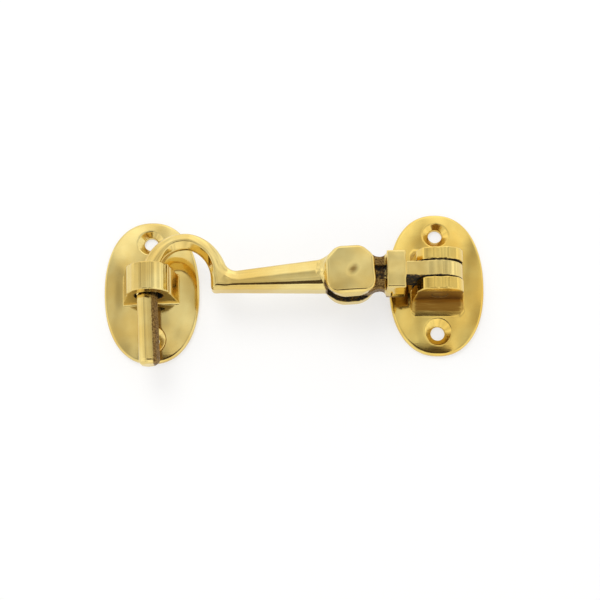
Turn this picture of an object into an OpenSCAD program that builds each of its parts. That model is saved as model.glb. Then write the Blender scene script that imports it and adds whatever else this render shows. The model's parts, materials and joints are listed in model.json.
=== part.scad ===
// Cabin hook with its eye, in cast and polished brass.
// A hinge plate carries a swivel link on a pin, the link carries the hook arm on a rivet,
// and the arm's peg stands in the eye of a second plate.
// Both mounting faces lie on z = 0, the origin is the middle of the hinge plate's
// mounting face, and the arm runs from the hinge pin towards -X.

/* [Plates] */
// Width of each oval plate
plate_w = 25.4; // [23:0.1:32]
// Length of each oval plate
plate_l = 39.4; // [37:0.1:50]
// Height of a plate at its edge
plate_edge = 1.5; // [1.2:0.1:2]
// Rise of the domed face above the edge
plate_dome = 1.7; // [1:0.1:2]
// Rounding of the edge
plate_round = 0.7; // [0.3:0.1:0.9]
// Squareness of the oval, where 2 is an ellipse
plate_square = 2.25; // [2:0.05:2.8]
// Distance between a plate's two screw holes
screw_spacing = 27.2; // [26:0.1:29]
// Diameter of the screw holes
screw_d = 3.6; // [3:0.1:4.4]
// Diameter of the countersinks at the plate's face
screw_head_d = 7.4; // [6.4:0.1:8]

/* [Hinge] */
// Height of the hinge pin and of the arm's middle above the mounting face
axis_h = 10; // [9.8:0.1:13]
// Diameter of the hinge pin
pin_d = 4; // [3:0.1:5]
// Radius of the rounded lugs and of the knuckle between them
lug_r = 6.2; // [5.4:0.1:6.4]
// Thickness of each lug along the pin
lug_t = 3.4; // [2.4:0.1:4.4]
// Width of each lug at its foot
lug_foot_w = 14; // [13:0.1:16]
// Thickness of the knuckle along the pin
knuckle_t = 4.3; // [3.4:0.1:5]

/* [Swivel link] */
// Room between the lugs and the square block
block_gap = 2.8; // [2.2:0.1:4]
// Length of the square block along the arm
block_l = 5; // [4:0.1:7]
// Width of the square block across the arm
block_w = 11; // [9.5:0.1:12]
// Rise of the square block in front of the arm's middle
block_front = 5.3; // [4:0.1:6]
// Depth of the square block behind the arm's middle
block_back = 3; // [2.6:0.1:5]
// Chamfer round the square block
block_chamfer = 0.5; // [0.2:0.1:1]
// Thickness of the neck and of the tongue in the fork
tongue_t = 4; // [3:0.1:4.6]
// Width of the neck at its waist
neck_w = 9; // [8:0.1:10]
// Depth of the pocket in the neck
pocket_depth = 1.2; // [0.6:0.1:1.4]

/* [Fork] */
// Width across the flats of the fork's knob
knob_w = 13.2; // [12.5:0.1:15]
// Thickness of the knob
knob_t = 11.6; // [10:0.1:13]
// Cut at each corner of the knob
knob_corner = 3.2; // [2.6:0.1:3.8]
// Bevel round the knob's two faces
knob_bevel = 0.9; // [0.4:0.1:1.4]
// Room between the knob and the square block
knob_gap = 2.8; // [2.2:0.1:4]
// Diameter of the rivet
rivet_d = 4.6; // [3.4:0.1:5.4]

/* [Arm] */
// Droop of the hooked arm below the line of the two plates, in degrees
droop = 3.7; // [1:0.1:4.5]
// Distance from the rivet to the peg
reach = 53.2; // [48:0.1:80]
// Width of the shank at the fork
shank_w = 8.6; // [7:0.1:10]
// Thickness of the shank at the fork
shank_t = 6.4; // [5.4:0.1:8]
// Chamfer of the shank at the fork
shank_chamfer = 1.9; // [1:0.1:2.4]
// Width of the bar where the arm steps up
step_w = 4.9; // [4:0.1:6]
// Thickness of the bar where the arm steps up and over the arch
step_t = 5.2; // [4.4:0.1:6]
// Chamfer of the bar where the arm steps up and over the arch
step_chamfer = 1; // [0.6:0.1:1.4]

/* [Hook] */
// Distance from the step to the peg
arch_span = 19.2; // [17:0.1:24]
// Height of the arch above the arm
arch_rise = 11.6; // [9.6:0.1:15]
// Width of the bar at the top of the arch
arch_w = 4.2; // [3.6:0.1:5]
// Outward flare from the arch to the peg
peg_flare = 1; // [0.6:0.1:2]
// Diameter of the peg
peg_d = 5.6; // [4.8:0.1:5.9]
// Length of the peg below the arm
peg_l = 21.2; // [16:0.1:26]
// Chamfer round the peg's tip
peg_chamfer = 0.9; // [0.4:0.1:1.6]

/* [Eye] */
// Drop of the eye plate below the hinge plate
eye_drop = 2.2; // [1:0.1:3]
// Turn of the eye plate against the hinge plate, in degrees
eye_turn = 2.3; // [1:0.1:4]
// Width of the eye along the peg
eye_l = 7.6; // [6:0.1:9]
// Radius of the rounded eye
eye_r = 5.8; // [5.5:0.1:6.4]
// Rise of the eye in front of its hole's middle
eye_crown = 6.7; // [6.2:0.1:7.4]
// Width of the eye at its foot
eye_foot_w = 15; // [13.5:0.1:17]
// Diameter of the hole for the peg
eye_d = 7.4; // [7.1:0.1:8.2]

/* [Fits] */
// Radial clearance of a turning joint
turn_clear = 0.05; // [0.02:0.01:0.1]
// Radial clearance of a pin held fast
held_clear = 0.02; // [0.01:0.01:0.03]
// Clearance beside the knuckle and the tongue
side_clear = 0.2; // [0.1:0.05:0.4]
// Room between the peg and the hole where they are closest
peg_room = 0.3; // [0.2:0.05:0.4]
// Clearance round the end of the tongue
tongue_clear = 0.45; // [0.3:0.05:0.7]

/* [Hidden] */
$fn = 64;

polished_brass = "#D9BC66";
cast_brass = "#B8934A";
pin_brass = "#CDAF5C";

// How far a cut runs past the face that it opens.
past = 1;
outline_steps = 48;
dome_rings = 4;
arch_steps = 16;
// Squareness of the arch on the peg's side and on the step's side.
arch_square = 2.2;
step_square = 2;
// How sharply the bar thickens towards the arch's feet, and the flare towards the peg.
foot_power = 3;
flare_power = 2;
// Share of a radius at which a straight side meets its round end.
shallow_meet = 0.96;
// Chamfer that makes an eight-sided bar nearly round, as a share of its width.
round_chamfer = 0.3;

plate_inner = 1 - 2 * plate_round / plate_w;
lug_total = knuckle_t + 2 * side_clear + 2 * lug_t;
block_near = lug_r + block_gap;
block_far = block_near + block_l;
rivet_x = block_far + knob_gap + knob_w / 2;
slot_t = tongue_t + 2 * side_clear;
slot_wall = 0.5;
slot_reach = knob_w / 2 - slot_wall;
tongue_r = slot_reach - tongue_clear;
neck_side = shallow_meet * tongue_r;
neck_waist_r = 3;
neck_waist_share = 0.6;
neck_waist_x = block_far + neck_waist_share * knob_gap;
pocket_w = 3.6;
pocket_l = knob_gap + slot_wall;

step_u = reach - arch_span;
arch_half = (arch_span - peg_flare) / 2;
arch_u = step_u + arch_half;
peg_top = -1;
peg_root_share = 0.9;
peg_root = peg_root_share * peg_d;

// The arm's own frame has u from the rivet to the hook end and v towards the arch.
function arm_point(u, v) = [
    -rivet_x - u * cos(droop) - v * sin(droop),
    -u * sin(droop) + v * cos(droop)
];

// The peg leans towards the far side of the hole, with its room left at the hole's upper end.
peg_lean = (eye_d - peg_d) / 2 - peg_room - eye_l / 2 * tan(abs(droop - eye_turn));
eye_u = reach - peg_lean;
eye_v = (eye_u * sin(droop) - eye_drop) / cos(droop);
eye_x = arm_point(eye_u, eye_v)[0];

function signed_power(value, power) = sign(value) * pow(abs(value), power);

// A point of a squared oval with half sizes a and b.
function oval(angle, a, b, square) = [
    a * signed_power(cos(angle), 2 / square),
    b * signed_power(sin(angle), 2 / square)
];

function dome_z(share) = plate_edge + plate_dome * (1 - pow(share, 2));

// Each ring of the plate is a share of the outline and a height.
plate_rings = concat(
    [[1, 0], [1, plate_edge - plate_round]],
    [for (i = [dome_rings:-1:1]) [plate_inner * i / dome_rings, dome_z(i / dome_rings)]]
);

function ring_face(ring, count) = [for (i = [0:count - 1]) ring * count + i];

function side_faces(rings, count) = [
    for (r = [0:rings - 2], i = [0:count - 1])
        let (a = r * count + i, b = r * count + (i + 1) % count)
        each [[a, a + count, b], [b, a + count, b + count]]
];

module domed_oval() {
    points = [
        for (ring = plate_rings, i = [0:outline_steps - 1])
            let (p = oval(360 * i / outline_steps, plate_w / 2, plate_l / 2, plate_square))
            [p[0] * ring[0], p[1] * ring[0], ring[1]]
    ];
    crown = len(points);
    last = len(plate_rings) - 1;
    crown_faces = [
        for (i = [0:outline_steps - 1])
            [last * outline_steps + i, crown, last * outline_steps + (i + 1) % outline_steps]
    ];
    polyhedron(
        points = concat(points, [[0, 0, dome_z(0)]]),
        faces = concat(
            [ring_face(0, outline_steps)],
            side_faces(len(plate_rings), outline_steps),
            crown_faces
        )
    );
}

module screw_hole() {
    face_z = dome_z(screw_spacing / (plate_l * plate_inner));
    sink = (screw_head_d - screw_d) / 2;
    translate([0, 0, -past])
        cylinder(d = screw_d, h = face_z + 2 * past);
    translate([0, 0, face_z - sink])
        cylinder(d1 = screw_d, d2 = screw_head_d + 2 * past, h = sink + past);
}

module screw_holes() {
    for (side = [-1, 1])
        translate([0, side * screw_spacing / 2, 0])
            screw_hole();
}

// A shape drawn in X and Z, with its thickness along Y.
module across(thickness) {
    rotate([90, 0, 0])
        linear_extrude(thickness, center = true)
            children();
}

module bore_along_y(d, length) {
    translate([0, 0, axis_h])
        rotate([90, 0, 0])
            cylinder(d = d, h = length, center = true);
}

// A rounded upright, as high as its crown, on a foot that is sunk into the plate.
module upright_outline(r, crown, foot_w) {
    round_z = axis_h + crown - r;
    translate([0, round_z])
        circle(r);
    polygon([
        [-foot_w / 2, plate_edge / 2],
        [foot_w / 2, plate_edge / 2],
        [foot_w / 2, plate_edge + plate_dome / 2],
        [shallow_meet * r, round_z],
        [-shallow_meet * r, round_z],
        [-foot_w / 2, plate_edge + plate_dome / 2]
    ]);
}

// Two lugs stand on the domed plate with the knuckle's room between them.
module hinge_plate() {
    color(polished_brass)
        difference() {
            union() {
                domed_oval();
                for (side = [-1, 1])
                    translate([0, side * (lug_total - lug_t) / 2, 0])
                        across(lug_t)
                            upright_outline(lug_r, lug_r, lug_foot_w);
            }
            screw_holes();
            bore_along_y(pin_d + 2 * held_clear, lug_total + 2 * past);
        }
}

// The pin is dressed flush with the outer faces of the lugs.
module hinge_pin() {
    color(pin_brass)
        bore_along_y(pin_d, lug_total);
}

module chamfered_block(l, w, t, c) {
    hull() {
        cube([l, w - 2 * c, t - 2 * c], center = true);
        cube([l - 2 * c, w, t - 2 * c], center = true);
        cube([l - 2 * c, w - 2 * c, t], center = true);
    }
}

// The knuckle runs into the square block as one flat web.
module knuckle_outline() {
    translate([0, axis_h])
        circle(lug_r);
    polygon([
        [0, axis_h - shallow_meet * lug_r],
        [0, axis_h + shallow_meet * lug_r],
        [-block_near - block_chamfer, axis_h + block_front - block_chamfer],
        [-block_near - block_chamfer, axis_h - block_back + block_chamfer]
    ]);
}

// The waisted neck ends in a round tongue about the rivet.
module neck_outline() {
    difference() {
        union() {
            translate([-rivet_x, 0])
                circle(tongue_r);
            translate([-rivet_x, -neck_side])
                square([rivet_x - block_far + block_chamfer, 2 * neck_side]);
        }
        for (side = [-1, 1])
            translate([-neck_waist_x, side * (neck_w / 2 + neck_waist_r)])
                circle(neck_waist_r);
    }
}

module swivel_link() {
    color(cast_brass)
        difference() {
            union() {
                across(knuckle_t)
                    knuckle_outline();
                translate([-block_near - block_l / 2, 0, axis_h + (block_front - block_back) / 2])
                    chamfered_block(block_l, block_w, block_front + block_back, block_chamfer);
                translate([0, 0, axis_h - tongue_t / 2])
                    linear_extrude(tongue_t)
                        neck_outline();
            }
            translate([-block_far - pocket_l, -pocket_w / 2, axis_h + tongue_t / 2 - pocket_depth])
                cube([pocket_l, pocket_w, pocket_depth + past]);
            bore_along_y(pin_d + 2 * turn_clear, knuckle_t + 2 * past);
            translate([-rivet_x, 0, axis_h])
                cylinder(d = rivet_d + 2 * turn_clear, h = tongue_t + 2 * past, center = true);
        }
}

// The rivet is dressed flush with both faces of the fork.
module pivot_rivet() {
    color(pin_brass)
        translate([-rivet_x, 0, axis_h])
            cylinder(d = rivet_d, h = knob_t, center = true);
}

module eight_sided(w, corner) {
    h = w / 2;
    k = h - corner;
    polygon([[h, -k], [h, k], [k, h], [-k, h], [-h, k], [-h, -k], [-k, -h], [k, -h]]);
}

module knob() {
    hull() {
        linear_extrude(knob_t, center = true)
            eight_sided(knob_w - 2 * knob_bevel, knob_corner - knob_bevel / 2);
        linear_extrude(knob_t - 2 * knob_bevel, center = true)
            eight_sided(knob_w, knob_corner);
    }
}

function mix(a, b, share) = a + (b - a) * share;

// Share 0 is the step, 1 is the foot of the arch above the peg.
function arch_point(share) =
    let (p = oval(180 * (1 - share), arch_half, arch_rise, share < 0.5 ? step_square : arch_square))
    let (low = 1 - p[1] / arch_rise)
    [arch_u + p[0] + (share > 0.5 ? peg_flare * pow(low, flare_power) : 0), p[1]];

// Each section of the bar is a place, then a width, a thickness and a chamfer.
function arch_section(share) =
    let (side = abs(2 * share - 1))
    let (foot_w = share < 0.5 ? step_w : peg_d)
    [
        arch_point(share),
        mix(arch_w, foot_w, pow(side, foot_power)),
        share < 0.5 ? step_t : mix(step_t, peg_d, side),
        share < 0.5 ? step_chamfer : mix(step_chamfer, round_chamfer * peg_d, side)
    ];

bar_sections = concat(
    [
        [[knob_w / 2 - knob_bevel, 0], shank_w, shank_t, shank_chamfer],
        [[step_u, 0], step_w, step_t, step_chamfer]
    ],
    [for (i = [1:arch_steps]) arch_section(i / arch_steps)],
    [[[reach, peg_top - peg_d / 2], peg_root, peg_root, round_chamfer * peg_root]]
);

function unit(p) = p / norm(p);

// The bar's direction at a section, halfway between the stretches on both sides of it.
function bar_along(i) =
    let (last = len(bar_sections) - 1)
    let (here = bar_sections[i][0])
    let (before = i == 0 ? undef : unit(here - bar_sections[i - 1][0]))
    let (after = i == last ? undef : unit(bar_sections[i + 1][0] - here))
    i == 0 ? after : i == last ? before : unit(before + after);

// A section at a bend is stretched, so that the bar keeps its width on both sides.
function bar_stretch(i) =
    i == 0 ? 1 : 1 / (bar_along(i) * unit(bar_sections[i][0] - bar_sections[i - 1][0]));

function bar_ring(i) =
    let (s = bar_sections[i])
    let (along = bar_along(i))
    let (w = s[1] / 2, t = s[2] / 2, c = s[3])
    let (corners = [
        [w, c - t], [w, t - c], [w - c, t], [c - w, t],
        [-w, t - c], [-w, c - t], [c - w, -t], [w - c, -t]
    ])
    [
        for (k = corners)
            let (off = k[0] * bar_stretch(i))
            [s[0][0] - along[1] * off, s[0][1] + along[0] * off, k[1]]
    ];

// The bar is drawn with u along -X, which mirrors it, so its faces are turned round.
module bent_bar() {
    rings = len(bar_sections);
    points = [for (i = [0:rings - 1], p = bar_ring(i)) [-p[0], p[1], p[2]]];
    count = len(points) / rings;
    turned = [for (i = [count - 1:-1:0]) i];
    polyhedron(
        points = points,
        faces = concat(
            [turned],
            [for (f = side_faces(rings, count)) [f[0], f[2], f[1]]],
            [ring_face(rings - 1, count)]
        )
    );
}

module peg() {
    r = peg_d / 2;
    translate([-reach, peg_top, 0])
        rotate([90, 0, 0])
            rotate_extrude()
                polygon([
                    [0, 0], [r, 0],
                    [r, peg_l + peg_top - peg_chamfer],
                    [r - peg_chamfer, peg_l + peg_top],
                    [0, peg_l + peg_top]
                ]);
}

// The fork, the tapered shank, the arch and the peg are one casting.
module hook_arm() {
    color(polished_brass)
        translate([-rivet_x, 0, axis_h])
            rotate([0, 0, droop])
                difference() {
                    union() {
                        knob();
                        bent_bar();
                        peg();
                    }
                    translate([-slot_reach, -knob_w / 2 - past, -slot_t / 2])
                        cube([slot_reach + knob_w / 2 + past, knob_w + 2 * past, slot_t]);
                    cylinder(d = rivet_d + 2 * held_clear, h = knob_t + 2 * past, center = true);
                }
}

// The eye stands on its own domed plate, and its hole lies across the plate.
module eye_plate() {
    color(polished_brass)
        translate([eye_x, -eye_drop, 0])
            rotate([0, 0, eye_turn])
                difference() {
                    union() {
                        domed_oval();
                        across(eye_l)
                            upright_outline(eye_r, eye_crown, eye_foot_w);
                    }
                    screw_holes();
                    bore_along_y(eye_d, eye_l + 2 * past);
                }
}

hinge_plate();
hinge_pin();
swivel_link();
pivot_rivet();
hook_arm();
eye_plate();
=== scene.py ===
# %% [markdown]
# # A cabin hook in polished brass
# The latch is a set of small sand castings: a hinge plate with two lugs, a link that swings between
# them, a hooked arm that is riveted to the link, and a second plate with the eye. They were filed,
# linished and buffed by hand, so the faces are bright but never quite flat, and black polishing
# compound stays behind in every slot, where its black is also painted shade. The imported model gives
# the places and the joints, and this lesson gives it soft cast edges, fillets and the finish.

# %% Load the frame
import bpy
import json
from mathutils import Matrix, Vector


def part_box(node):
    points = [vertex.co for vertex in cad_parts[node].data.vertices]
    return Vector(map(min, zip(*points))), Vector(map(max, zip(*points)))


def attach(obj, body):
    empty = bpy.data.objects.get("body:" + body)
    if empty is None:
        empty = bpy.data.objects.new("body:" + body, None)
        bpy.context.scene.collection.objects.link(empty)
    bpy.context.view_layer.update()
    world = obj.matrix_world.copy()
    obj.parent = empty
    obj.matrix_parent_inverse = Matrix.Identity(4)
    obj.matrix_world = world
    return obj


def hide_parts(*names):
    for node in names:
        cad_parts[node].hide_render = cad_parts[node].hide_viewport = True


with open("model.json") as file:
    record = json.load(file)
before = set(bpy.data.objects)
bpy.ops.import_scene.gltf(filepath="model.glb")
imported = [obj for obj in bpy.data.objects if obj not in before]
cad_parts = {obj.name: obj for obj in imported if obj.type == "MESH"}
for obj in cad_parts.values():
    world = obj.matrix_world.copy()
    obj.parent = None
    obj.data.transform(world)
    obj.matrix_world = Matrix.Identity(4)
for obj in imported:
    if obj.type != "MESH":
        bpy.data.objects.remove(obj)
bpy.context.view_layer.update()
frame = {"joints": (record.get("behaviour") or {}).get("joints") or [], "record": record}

# %% [markdown]
# ## Sizes that the model already has
# The castings have to lie on the solids that they dress. Their places could be typed in again, but the
# frame knows them, so the axes of pin, rivet and peg and the outer corners of the solids are read from
# it. Shapes are worked out in millimetres, as a maker thinks, and come down to metres at the end.

# %% Read the driving sizes
import json
import math

import bpy
from mathutils import Vector

MM = 1000.0


def corners_mm(node):
    """A node's lowest and highest corner, in millimetres."""
    low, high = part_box(node)
    return low * MM, high * MM


joints = {joint["name"]: joint for joint in frame["joints"]}
mounts = {mount["name"]: mount for mount in frame["record"]["mounts"]}
hinge_low, hinge_high = corners_mm("hinge_plate")
pin_low, pin_high = corners_mm("hinge_pin")
rivet_low, rivet_high = corners_mm("pivot_rivet")
rivet_at = Vector(joints["lift"]["pos_m"]) * MM
eye_at = Vector(mounts["eye_plate_back"]["pos_m"]) * MM
axis_h = joints["swing"]["pos_m"][2] * MM
peg_way = joints["unhook"]["axis"]
droop = math.atan2(peg_way[0], -peg_way[1])
print(f"pin {axis_h:.1f} mm up, rivet at {rivet_at.x:.1f} mm, droop {math.degrees(droop):.1f} degrees")

# %% [markdown]
# ## The camera
# The photograph looks down on the latch from the side of the peg, 17 degrees off the plates' normal.
# Its distance and focal length were fitted to the outlines of both plates, so the camera is worked
# out from those three values and the point on the table in the middle of the picture.

# %% Place the camera
CAMERA_TILT = math.radians(17)
CAMERA_DISTANCE = 0.380
CAMERA_AIM = Vector((-0.03647, -0.0040, 0.0))
FOCAL_PIXELS = 1419
PICTURE_PIXELS = 600
SENSOR_MM = 36

lens = bpy.data.cameras.new("camera")
lens.sensor_width = SENSOR_MM
lens.lens = SENSOR_MM * FOCAL_PIXELS / PICTURE_PIXELS
camera = bpy.data.objects.new("camera", lens)
back_from_aim = Vector((0, -math.sin(CAMERA_TILT), math.cos(CAMERA_TILT)))
camera.location = CAMERA_AIM + CAMERA_DISTANCE * back_from_aim
camera.rotation_euler = (CAMERA_TILT, 0, 0)
bpy.context.scene.collection.objects.link(camera)
bpy.context.scene.camera = camera
bpy.context.scene.view_settings.view_transform = "Standard"
print(f"lens {lens.lens:.1f} mm, camera at {tuple(round(c, 3) for c in camera.location)} m")

# %% [markdown]
# ## One function that adds a node
# Every tree below, for shapes and for finishes, is built with this function: it makes a node, sets
# its properties and fills its inputs with plain values or with links. A field, which comes next,
# counts as the socket that it holds.

# %% Add a node
def add_node(tree, kind, inputs=None, **settings):
    """A new node, with its settings made and its inputs filled by values or by other sockets."""
    made = tree.nodes.new(kind)
    for name, value in settings.items():
        setattr(made, name, value)
    for key, value in (inputs or {}).items():
        value = getattr(value, "socket", value)
        if isinstance(value, bpy.types.NodeSocket):
            tree.links.new(value, made.inputs[key])
        else:
            made.inputs[key].default_value = value
    return made


print("trees are built by", add_node.__name__)

# %% [markdown]
# ## Shapes as distances
# A casting has no sharp edges and no sharp inner corners: each edge is rounded by the file and each
# corner has a fillet. Bevel modifiers on a mesh with bores and domes fail where the fillets meet, so
# the shape is written as a distance instead: a formula that is nought on the surface, below nought in
# the metal and above it outside. Geometry Nodes work the formula out in a block of small cells and
# mesh the place where it is nought. A few steps along the normals then put each vertex exactly on the
# surface, which a mirror finish needs.

# %% Let Python's own signs write the formulas
class Field:
    """A value that a tree works out at every point. Arithmetic on fields adds nodes to their tree."""

    def __init__(self, socket):
        self.socket = socket


def worked(operation, *values):
    """One step of a formula, on fields and plain numbers, as a new field."""
    tree = next(value.socket.id_data for value in values if isinstance(value, Field))
    step = add_node(tree, "ShaderNodeMath", dict(enumerate(values)), operation=operation)
    return Field(step.outputs[0])


SIGNS = {"add": "ADD", "sub": "SUBTRACT", "mul": "MULTIPLY", "truediv": "DIVIDE", "pow": "POWER"}
for sign, operation in SIGNS.items():
    setattr(Field, f"__{sign}__", lambda a, b, o=operation: worked(o, a, b))
    setattr(Field, f"__r{sign}__", lambda a, b, o=operation: worked(o, b, a))
Field.__neg__ = lambda a: worked("MULTIPLY", a, -1)
Field.__abs__ = lambda a: worked("ABSOLUTE", a)
print(f"fields know {len(SIGNS)} signs of arithmetic")

# %% Write the helpers for soft steps
def larger(a, b):
    return worked("MAXIMUM", a, b)


def smaller(a, b):
    return worked("MINIMUM", a, b)


def across(a, b):
    """The long side of a right-angled triangle."""
    return worked("SQRT", a * a + b * b)


def part_way(a, b, share):
    """A value that goes from a to b as the share goes from 0 to 1."""
    return a + (b - a) * share


def ease(value, low, high):
    """A smooth step from 0 at low to 1 at high."""
    share = smaller(larger((value - low) / (high - low), 0), 1)
    return share * share * (3 - share * 2)


print("soft steps are ready")

# %% [markdown]
# ## Rounded edges, fillets and ovals
# A rounded edge is an arc in the corner between two distances, and a fillet is the same arc seen from
# the other side of the metal, so one formula does both. The oval is a squared ellipse: its distance is
# how far the share lies past the rim, divided by how fast it grows there.

# %% Write the helpers for edges and ovals
INNERMOST_SHARE = 0.05
LEAST_SLOPE = 0.5


def edge(a, b, r):
    """Where two solids overlap, with the edge between them rounded to a radius."""
    return smaller(larger(a, b), -r) + across(larger(a + r, 0), larger(b + r, 0))


def fillet(a, b, r):
    """Two solids joined, with a fillet of that radius in the corner between them."""
    return -edge(-a, -b, r)


def oval(x, y, a, b, square):
    """How far a point lies outside a squared oval, and its share of the way out from the middle."""
    px = abs(x) / a
    py = abs(y) / b
    share = larger((px ** square + py ** square) ** (1 / square), INNERMOST_SHARE)
    slope = across(px ** (square - 1) / a, py ** (square - 1) / b) * share ** (1 - square)
    return (share - 1) / larger(slope, LEAST_SLOPE / b), share


print("edges, fillets and ovals are ready")

# %% [markdown]
# ## From a distance to a mesh
# Each tree has named inputs for its sizes, in millimetres, and one for its finish. It ends the same
# way every time: the block of cells, the mesh, the steps onto the surface, the marks that the finish
# reads, and the scaling to metres at the casting's own place. A mark is a named attribute, such as
# where compound was left.

# %% Start a tree
def start_tree(title, sizes):
    """A tree with one named input for each size, and those inputs and the position as fields."""
    tree = bpy.data.node_groups.new(title, "GeometryNodeTree")
    tree.interface.new_socket("Geometry", in_out="OUTPUT", socket_type="NodeSocketGeometry")
    for label in sizes:
        tree.interface.new_socket(label, in_out="INPUT", socket_type="NodeSocketFloat")
    tree.interface.new_socket("Finish", in_out="INPUT", socket_type="NodeSocketMaterial")
    entry = add_node(tree, "NodeGroupInput")
    place = add_node(tree, "GeometryNodeInputPosition")
    split = add_node(tree, "ShaderNodeSeparateXYZ", {0: place.outputs[0]})
    fields = {label: Field(entry.outputs[label]) for label in [*sizes, "Finish"]}
    print(f"{title}: {len(sizes)} named sizes")
    return tree, fields, [Field(output) for output in split.outputs]


# %% End a tree
STEPS_ONTO_SURFACE = 4
BLOCK_MARGIN = 0.7


def end_tree(tree, distance, low, high, size, marks):
    """Meshes the surface where the distance is nought, stores its marks and puts it in place."""
    triples = {
        "Min": [corner - BLOCK_MARGIN for corner in low],
        "Max": [corner + BLOCK_MARGIN for corner in high],
        "Turn": [size.get("Lie", 0.0), 0.0, size["Turn"]],
        "Place": [size["Place " + axis] / MM for axis in "XYZ"],
    }
    ends = {}
    for label, parts in triples.items():
        ends[label] = add_node(tree, "ShaderNodeCombineXYZ", dict(enumerate(parts))).outputs[0]
    block = {"Density": -distance, "Background": -1.0, "Min": ends["Min"], "Max": ends["Max"]}
    for axis, a, b in zip("XYZ", triples["Min"], triples["Max"]):
        block["Resolution " + axis] = (b - a) / size["Cell"]
    cells = add_node(tree, "GeometryNodeVolumeCube", block).outputs[0]
    shape = add_node(tree, "GeometryNodeVolumeToMesh", {0: cells, "Threshold": 0.0}).outputs[0]
    for _ in range(STEPS_ONTO_SURFACE):
        normal = add_node(tree, "GeometryNodeInputNormal").outputs[0]
        step = add_node(tree, "ShaderNodeVectorMath", {0: normal, "Scale": -distance}, operation="SCALE")
        onto = {0: shape, "Offset": step.outputs[0]}
        shape = add_node(tree, "GeometryNodeSetPosition", onto).outputs[0]
    for label, field in marks.items():
        stored = {0: shape, "Name": label, "Value": field}
        shape = add_node(tree, "GeometryNodeStoreNamedAttribute", stored).outputs[0]
    shape = add_node(tree, "GeometryNodeSetShadeSmooth", {0: shape}).outputs[0]
    moved = {0: shape, "Translation": ends["Place"], "Rotation": ends["Turn"], "Scale": (1 / MM,) * 3}
    shape = add_node(tree, "GeometryNodeTransform", moved).outputs[0]
    shape = add_node(tree, "GeometryNodeRealizeInstances", {0: shape}).outputs[0]
    coated = {0: shape, "Material": size["Finish"]}
    shape = add_node(tree, "GeometryNodeSetMaterial", coated).outputs[0]
    add_node(tree, "NodeGroupOutput", {0: shape})
    print(f"{tree.name}: {len(tree.nodes)} nodes")


# %% Run a tree
def make_piece(name, tree, sizes, finish, base=None):
    """Runs a tree with these sizes and keeps the result as a plain mesh."""
    piece = bpy.data.objects.new(name, base or bpy.data.meshes.new(name))
    bpy.context.scene.collection.objects.link(piece)
    modifier = piece.modifiers.new("shape", "NODES")
    modifier.node_group = tree
    for socket in tree.interface.items_tree:
        if socket.in_out == "INPUT" and socket.socket_type == "NodeSocketFloat":
            modifier[socket.identifier] = float(sizes[socket.name])
        if socket.in_out == "INPUT" and socket.socket_type == "NodeSocketMaterial":
            modifier[socket.identifier] = finish
    ready = piece.evaluated_get(bpy.context.evaluated_depsgraph_get())
    mesh = bpy.data.meshes.new_from_object(ready)
    piece.modifiers.remove(modifier)
    piece.data = mesh
    mesh.name = name
    print(f"{name}: {len(mesh.vertices)} vertices, {len(mesh.polygons)} faces")
    return piece


# %% [markdown]
# ## Buffed, lacquered and drawn brass
# Common yellow brass, cast, linished and buffed on a mop. To the eye it is a warm mirror: it takes its
# light and dark from the room, with a faint haze, drifting hairlines from the mop and a browner tone
# where the mop can't reach. Faces that the mop never met keep the sandy skin of the mould. In corners,
# hollows and at the feet of the lugs the brown tone, the skin and the compound are also painted shade.
# A painted image would need its own map for each casting, so noise at sizes in millimetres gives the
# patterns, and the marks that the castings carry say where each of them shows.

# %% Mix the colours
def colour(text):
    """A linear colour from an sRGB hex value."""
    parts = [int(text[i:i + 2], 16) / 255 for i in (1, 3, 5)]
    linear = [p / 12.92 if p <= 0.04045 else ((p + 0.055) / 1.055) ** 2.4 for p in parts]
    return (*linear, 1.0)


# Bare brass drifts between a pale and a warm tone, and lacquer keeps it a deeper yellow.
BRASS, BRASS_WARM = "#E8D38B", "#DEBE6C"
LACQUERED, LACQUERED_WARM = "#ECD076", "#E2BA5A"
# A brown film where the mop can't reach, the skin of the mould, and compound that dried in place, which also
# paint shade in corners and hollows.
TARNISH_AND_SHADE = "#7E5A22"
SKIN, SKIN_DARK = "#987A46", "#5E4424"
COMPOUND_AND_SHADE, COMPOUND_PALE = "#120C06", "#3A2A18"
print("clean brass is", [round(part, 2) for part in colour(BRASS)[:3]], "in linear light")

# %% Size the patterns in millimetres
# The drift of tone and the patches of film have their real size. Mould sand is about 0.2 mm and the
# mop's hairlines are under 0.05 mm apart: too fine for the picture, so both are drawn coarser.
CLOUD_MM = 9.0
PATCH_MM = 0.9
GRAIN_MM = 0.4
HAIRLINE_MM = 0.35
EVEN = (1, 1, 1)
ALONG_X = (0.08, 1, 1)
PATTERNS = {
    "cloud": (CLOUD_MM, 3.0, EVEN),
    "patch": (PATCH_MM, 3.0, EVEN),
    "grain": (GRAIN_MM, 2.0, EVEN),
    "hairline": (HAIRLINE_MM, 2.0, ALONG_X),
}
MARKS = ("compound_and_shade", "as_cast_and_shade", "tarnish_and_shade", "satin")


def read_surface(tree):
    """The patterns and the marks of a piece, as fields by name."""
    place = add_node(tree, "ShaderNodeTexCoord").outputs["Object"]
    read = {}
    for label, (size_mm, detail, stretch) in PATTERNS.items():
        along = add_node(tree, "ShaderNodeMapping", {"Vector": place, "Scale": stretch}).outputs[0]
        speckle = {"Vector": along, "Scale": MM / size_mm, "Detail": detail}
        read[label] = Field(add_node(tree, "ShaderNodeTexNoise", speckle).outputs[0])
    for label in MARKS:
        read[label] = Field(add_node(tree, "ShaderNodeAttribute", attribute_name=label).outputs["Fac"])
    return read


print(f"{len(PATTERNS)} patterns and {len(MARKS)} marks can be read")
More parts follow.
